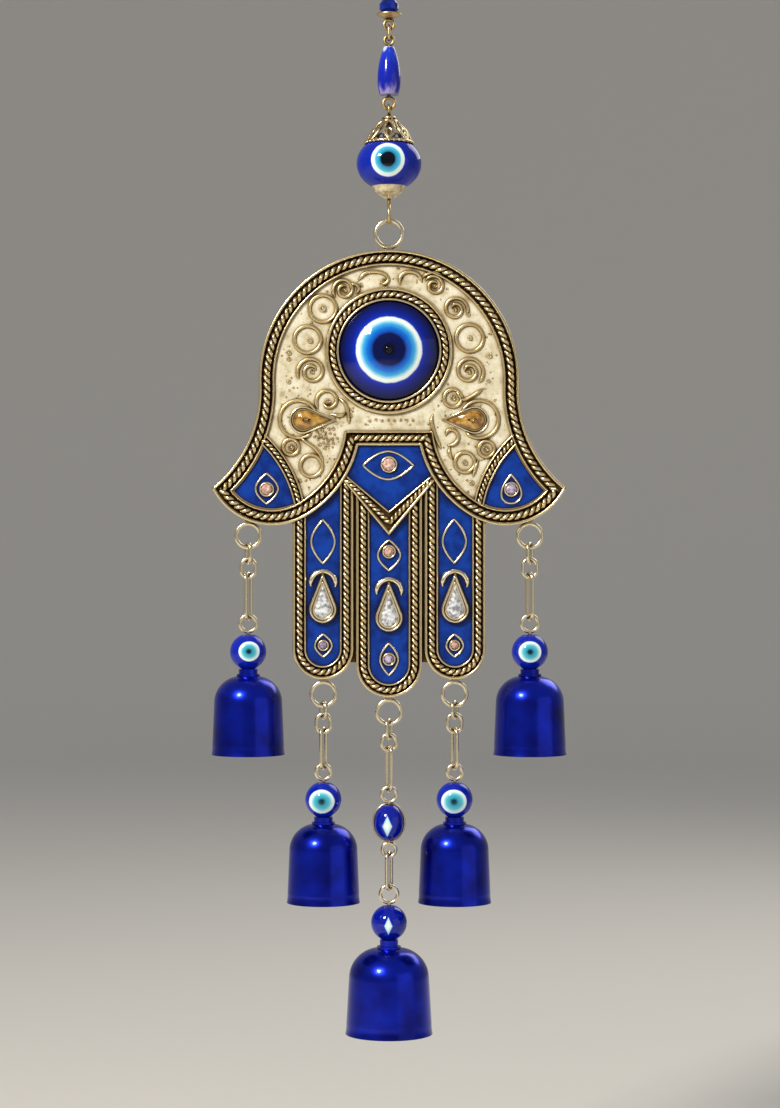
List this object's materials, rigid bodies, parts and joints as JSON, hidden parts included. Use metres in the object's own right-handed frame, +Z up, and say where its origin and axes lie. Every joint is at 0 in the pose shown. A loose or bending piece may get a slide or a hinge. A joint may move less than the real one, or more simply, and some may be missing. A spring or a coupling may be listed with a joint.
{
  "type": "hamsa hand wall hanging",
  "caption": "Hanging hand charm with a central glass eye, bead chain above and hinged bells below, hung from a hook through its top eye.",
  "frame": {"origin": "centre of the hanger eye, the hole that the wall hook goes through", "axes": "+Z up, +X to the right of someone facing the charm, front of the hand towards -Y"},
  "size_m": [0.0886, 0.0218, 0.2775],
  "materials": {
    "antique_brass": "cast, dark patina in the hollows and rubbed bright on the high places",
    "steel_wire": "drawn wire with a worn pale brass wash",
    "cream_enamel": "soft enamel, mottled ivory",
    "blue_enamel": "translucent cobalt soft enamel",
    "eye_glass": "polished cobalt glass with a white, pale blue and dark eye",
    "bead_glass": "polished opaque cobalt glass",
    "bell_lacquer": "blue candy lacquer over steel",
    "crystal": "clear cut crystal, foiled behind",
    "stone_glass": "pale rose and lilac cut glass",
    "amber_resin": "amber resin"
  },
  "bodies": {
    "hanger": {"hanger": "antique_brass"},
    "top_link": {"top_link": "antique_brass"},
    "upper_bead": {"upper_bead_pin": "antique_brass", "upper_bead": "bead_glass", "upper_bead_cap": "antique_brass"},
    "bead_link": {"bead_link": "antique_brass"},
    "long_bead": {"long_bead_pin": "antique_brass", "long_bead": "bead_glass"},
    "eye_bead": {"eye_bead_pin": "antique_brass", "eye_bead": "bead_glass", "eye_bead_crown": "antique_brass", "eye_bead_cup": "antique_brass"},
    "hand": {"hand_casting": "antique_brass", "hanging_rings": "antique_brass", "cream_enamel": "cream_enamel", "blue_enamel": "blue_enamel", "eye_glass": "eye_glass", "crystal_settings": "antique_brass", "pear_crystals": "crystal", "round_stones": "stone_glass", "amber_drops": "amber_resin"},
    "left_outer_short_link": {"left_outer_short_link": "steel_wire"},
    "left_outer_round_link": {"left_outer_round_link": "steel_wire"},
    "left_outer_long_link": {"left_outer_long_link": "steel_wire"},
    "left_outer_bell": {"left_outer_bell_pin": "steel_wire", "left_outer_bell_bead": "bead_glass", "left_outer_bell": "bell_lacquer"},
    "left_outer_clapper": {"left_outer_clapper": "antique_brass"},
    "left_inner_short_link": {"left_inner_short_link": "steel_wire"},
    "left_inner_round_link": {"left_inner_round_link": "steel_wire"},
    "left_inner_long_link": {"left_inner_long_link": "steel_wire"},
    "left_inner_bell": {"left_inner_bell_pin": "steel_wire", "left_inner_bell_bead": "bead_glass", "left_inner_bell": "bell_lacquer"},
    "left_inner_clapper": {"left_inner_clapper": "antique_brass"},
    "middle_short_link": {"middle_short_link": "steel_wire"},
    "middle_round_link": {"middle_round_link": "steel_wire"},
    "middle_long_link": {"middle_long_link": "steel_wire"},
    "middle_oval_bead": {"oval_bead_pin": "steel_wire", "oval_bead": "bead_glass", "oval_bead_rim": "steel_wire"},
    "middle_lower_link": {"middle_lower_link": "steel_wire"},
    "middle_bell": {"middle_bell_pin": "steel_wire", "middle_bell_bead": "bead_glass", "middle_bell": "bell_lacquer"},
    "middle_clapper": {"middle_clapper": "antique_brass"},
    "right_inner_short_link": {"right_inner_short_link": "steel_wire"},
    "right_inner_round_link": {"right_inner_round_link": "steel_wire"},
    "right_inner_long_link": {"right_inner_long_link": "steel_wire"},
    "right_inner_bell": {"right_inner_bell_pin": "steel_wire", "right_inner_bell_bead": "bead_glass", "right_inner_bell": "bell_lacquer"},
    "right_inner_clapper": {"right_inner_clapper": "antique_brass"},
    "right_outer_short_link": {"right_outer_short_link": "steel_wire"},
    "right_outer_round_link": {"right_outer_round_link": "steel_wire"},
    "right_outer_long_link": {"right_outer_long_link": "steel_wire"},
    "right_outer_bell": {"right_outer_bell_pin": "steel_wire", "right_outer_bell_bead": "bead_glass", "right_outer_bell": "bell_lacquer"},
    "right_outer_clapper": {"right_outer_clapper": "antique_brass"}
  },
  "joints": [
    {"name": "top_link_swing", "type": "hinge", "parent": "hanger", "child": "top_link", "pos_m": [0, 0, -0.0088], "axis": [1, 0, 0], "range_deg": [-50, 50]},
    {"name": "upper_bead_swing", "type": "hinge", "parent": "top_link", "child": "upper_bead", "pos_m": [0, 0, -0.01175], "axis": [0, 1, 0], "range_deg": [-40, 40]},
    {"name": "bead_link_swing", "type": "hinge", "parent": "upper_bead", "child": "bead_link", "pos_m": [0, 0, -0.0218], "axis": [-1, 0, 0], "range_deg": [-45, 45]},
    {"name": "long_bead_swing", "type": "hinge", "parent": "bead_link", "child": "long_bead", "pos_m": [0, 0, -0.0243], "axis": [0, -1, 0], "range_deg": [-40, 40]},
    {"name": "eye_bead_swing", "type": "hinge", "parent": "long_bead", "child": "eye_bead", "pos_m": [0, 0, -0.04165], "axis": [1, 0, 0], "range_deg": [-35, 35]},
    {"name": "hand_swing", "type": "hinge", "parent": "eye_bead", "child": "hand", "pos_m": [0, 0, -0.07056], "axis": [0, 1, 0], "range_deg": [-30, 30]},
    {"name": "left_outer_short_swing", "type": "hinge", "parent": "hand", "child": "left_outer_short_link", "pos_m": [-0.0352, 0, -0.15132], "axis": [1, 0, 0], "range_deg": [-60, 60]},
    {"name": "left_outer_round_swing", "type": "hinge", "parent": "left_outer_short_link", "child": "left_outer_round_link", "pos_m": [-0.0352, 0, -0.15512], "axis": [-0.3746, 0.9272, 0], "range_deg": [-6, 40]},
    {"name": "left_outer_long_swing", "type": "hinge", "parent": "left_outer_round_link", "child": "left_outer_long_link", "pos_m": [-0.0352, 0, -0.15872], "axis": [-1, 0, 0], "range_deg": [-60, 60]},
    {"name": "left_outer_bell_swing", "type": "hinge", "parent": "left_outer_long_link", "child": "left_outer_bell", "pos_m": [-0.0352, 0, -0.16922], "axis": [-0.3746, -0.9272, 0], "range_deg": [-40, 8]},
    {"name": "left_outer_clapper_swing", "type": "hinge", "parent": "left_outer_bell", "child": "left_outer_clapper", "pos_m": [-0.0352, 0, -0.18726], "axis": [1, 0, 0], "range_deg": [-26, 26]},
    {"name": "left_inner_short_swing", "type": "hinge", "parent": "hand", "child": "left_inner_short_link", "pos_m": [-0.0164, 0, -0.19091], "axis": [1, 0, 0], "range_deg": [-60, 60]},
    {"name": "left_inner_round_swing", "type": "hinge", "parent": "left_inner_short_link", "child": "left_inner_round_link", "pos_m": [-0.0164, 0, -0.19386], "axis": [-0.3746, 0.9272, 0], "range_deg": [-4, 25]},
    {"name": "left_inner_long_swing", "type": "hinge", "parent": "left_inner_round_link", "child": "left_inner_long_link", "pos_m": [-0.0164, 0, -0.19746], "axis": [-1, 0, 0], "range_deg": [-60, 60]},
    {"name": "left_inner_bell_swing", "type": "hinge", "parent": "left_inner_long_link", "child": "left_inner_bell", "pos_m": [-0.0164, 0, -0.20656], "axis": [-0.3746, -0.9272, 0], "range_deg": [-25, 6]},
    {"name": "left_inner_clapper_swing", "type": "hinge", "parent": "left_inner_bell", "child": "left_inner_clapper", "pos_m": [-0.0164, 0, -0.2242], "axis": [1, 0, 0], "range_deg": [-26, 26]},
    {"name": "middle_short_swing", "type": "hinge", "parent": "hand", "child": "middle_short_link", "pos_m": [0, 0, -0.19541], "axis": [1, 0, 0], "range_deg": [-60, 60]},
    {"name": "middle_round_swing", "type": "hinge", "parent": "middle_short_link", "child": "middle_round_link", "pos_m": [0, 0, -0.19896], "axis": [0.3746, 0.9272, 0], "range_deg": [-5, 5]},
    {"name": "middle_long_swing", "type": "hinge", "parent": "middle_round_link", "child": "middle_long_link", "pos_m": [0, 0, -0.20206], "axis": [-1, 0, 0], "range_deg": [-60, 60]},
    {"name": "middle_oval_swing", "type": "hinge", "parent": "middle_long_link", "child": "middle_oval_bead", "pos_m": [0, 0, -0.21216], "axis": [0.3746, -0.9272, 0], "range_deg": [-5, 5]},
    {"name": "middle_lower_swing", "type": "hinge", "parent": "middle_oval_bead", "child": "middle_lower_link", "pos_m": [0, 0, -0.22846], "axis": [1, 0, 0], "range_deg": [-45, 45]},
    {"name": "middle_bell_swing", "type": "hinge", "parent": "middle_lower_link", "child": "middle_bell", "pos_m": [0, 0, -0.23676], "axis": [0.3746, 0.9272, 0], "range_deg": [-30, 30]},
    {"name": "middle_clapper_swing", "type": "hinge", "parent": "middle_bell", "child": "middle_clapper", "pos_m": [0, 0, -0.25525], "axis": [-1, 0, 0], "range_deg": [-26, 26]},
    {"name": "right_inner_short_swing", "type": "hinge", "parent": "hand", "child": "right_inner_short_link", "pos_m": [0.0164, 0, -0.19091], "axis": [1, 0, 0], "range_deg": [-60, 60]},
    {"name": "right_inner_round_swing", "type": "hinge", "parent": "right_inner_short_link", "child": "right_inner_round_link", "pos_m": [0.0164, 0, -0.19386], "axis": [-0.3746, -0.9272, 0], "range_deg": [-4, 25]},
    {"name": "right_inner_long_swing", "type": "hinge", "parent": "right_inner_round_link", "child": "right_inner_long_link", "pos_m": [0.0164, 0, -0.19746], "axis": [-1, 0, 0], "range_deg": [-60, 60]},
    {"name": "right_inner_bell_swing", "type": "hinge", "parent": "right_inner_long_link", "child": "right_inner_bell", "pos_m": [0.0164, 0, -0.20656], "axis": [-0.3746, 0.9272, 0], "range_deg": [-25, 6]},
    {"name": "right_inner_clapper_swing", "type": "hinge", "parent": "right_inner_bell", "child": "right_inner_clapper", "pos_m": [0.0164, 0, -0.2242], "axis": [1, 0, 0], "range_deg": [-26, 26]},
    {"name": "right_outer_short_swing", "type": "hinge", "parent": "hand", "child": "right_outer_short_link", "pos_m": [0.0352, 0, -0.15132], "axis": [1, 0, 0], "range_deg": [-60, 60]},
    {"name": "right_outer_round_swing", "type": "hinge", "parent": "right_outer_short_link", "child": "right_outer_round_link", "pos_m": [0.0352, 0, -0.15512], "axis": [-0.3746, -0.9272, 0], "range_deg": [-6, 40]},
    {"name": "right_outer_long_swing", "type": "hinge", "parent": "right_outer_round_link", "child": "right_outer_long_link", "pos_m": [0.0352, 0, -0.15872], "axis": [-1, 0, 0], "range_deg": [-60, 60]},
    {"name": "right_outer_bell_swing", "type": "hinge", "parent": "right_outer_long_link", "child": "right_outer_bell", "pos_m": [0.0352, 0, -0.16922], "axis": [-0.3746, 0.9272, 0], "range_deg": [-40, 8]},
    {"name": "right_outer_clapper_swing", "type": "hinge", "parent": "right_outer_bell", "child": "right_outer_clapper", "pos_m": [0.0352, 0, -0.18726], "axis": [1, 0, 0], "range_deg": [-26, 26]}
  ]
}
